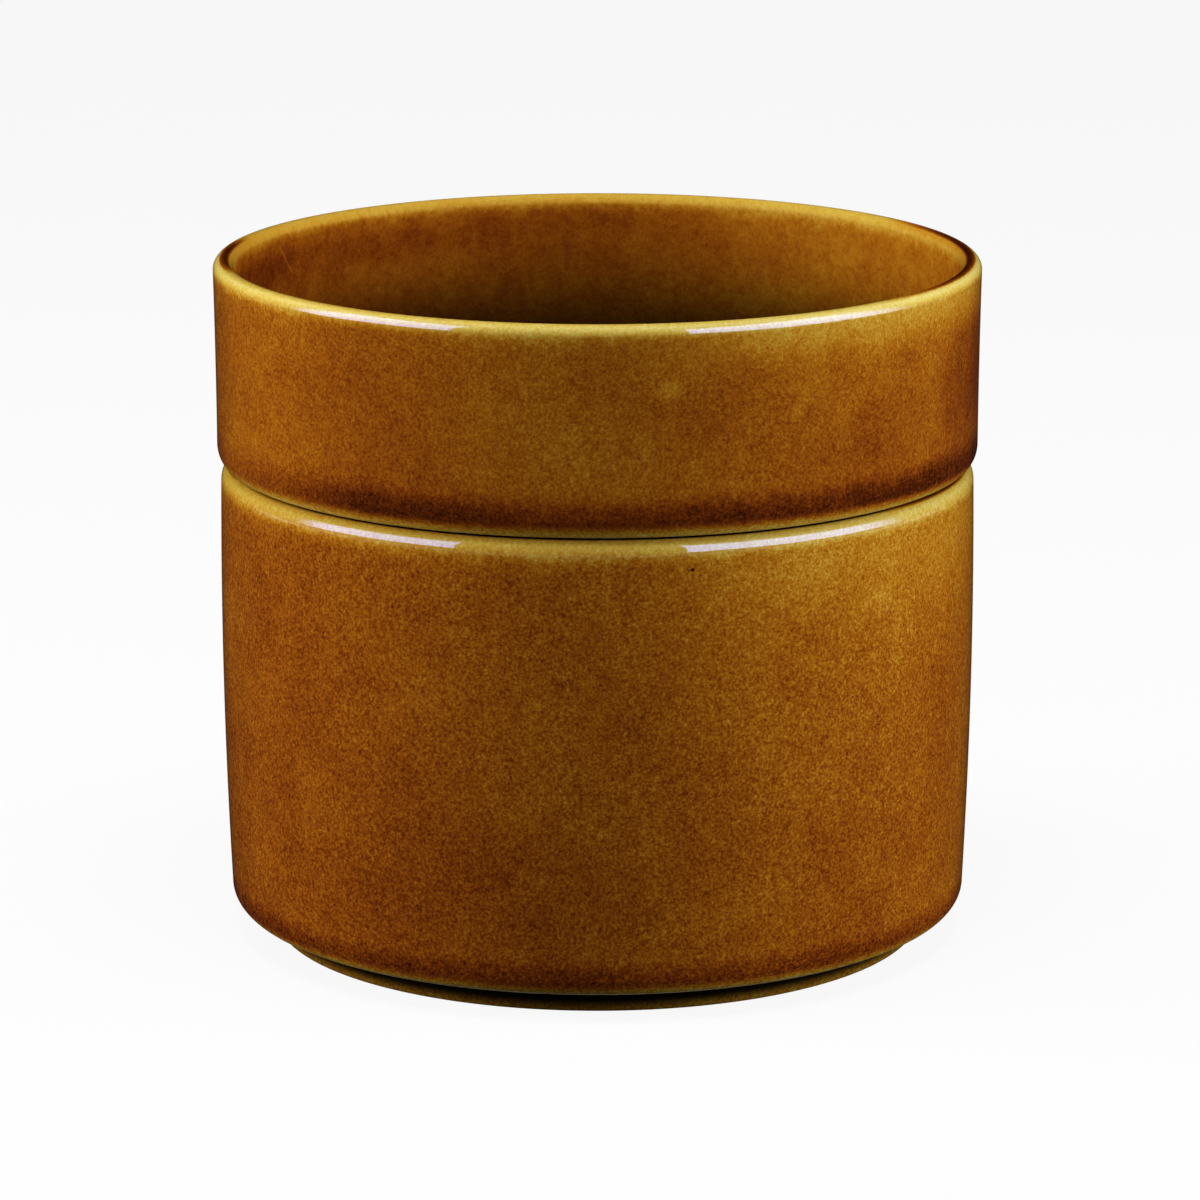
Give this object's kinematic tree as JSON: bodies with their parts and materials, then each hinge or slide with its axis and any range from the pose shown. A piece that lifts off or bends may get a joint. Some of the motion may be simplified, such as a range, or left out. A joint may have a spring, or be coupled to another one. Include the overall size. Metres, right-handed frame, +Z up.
{
  "type": "lidded ceramic jar",
  "caption": "Round jar of amber glazed ceramic on a foot ring, closed by an open bowl whose ringed bottom drops into its mouth.",
  "frame": {"origin": "centre of the foot ring, on the surface that the jar stands on", "axes": "+Z up along the axis of both turned pieces; X and Y are any two directions square to it"},
  "size_m": [0.1246, 0.1246, 0.1116],
  "materials": {
    "jar_glaze": "glossy amber glaze, mottled, yellow where it breaks thin over the rim and foot",
    "bowl_glaze": "glossy amber glaze, mottled, yellow where it breaks thin over the rim and dark where it pools"
  },
  "bodies": {
    "jar": {"jar": "jar_glaze"},
    "lid": {"bowl_lid": "bowl_glaze"}
  },
  "joints": [
    {"name": "lid_lift", "type": "slide", "parent": "jar", "child": "lid", "axis": [0, 0, 1], "range_m": [0, 0.12]}
  ]
}
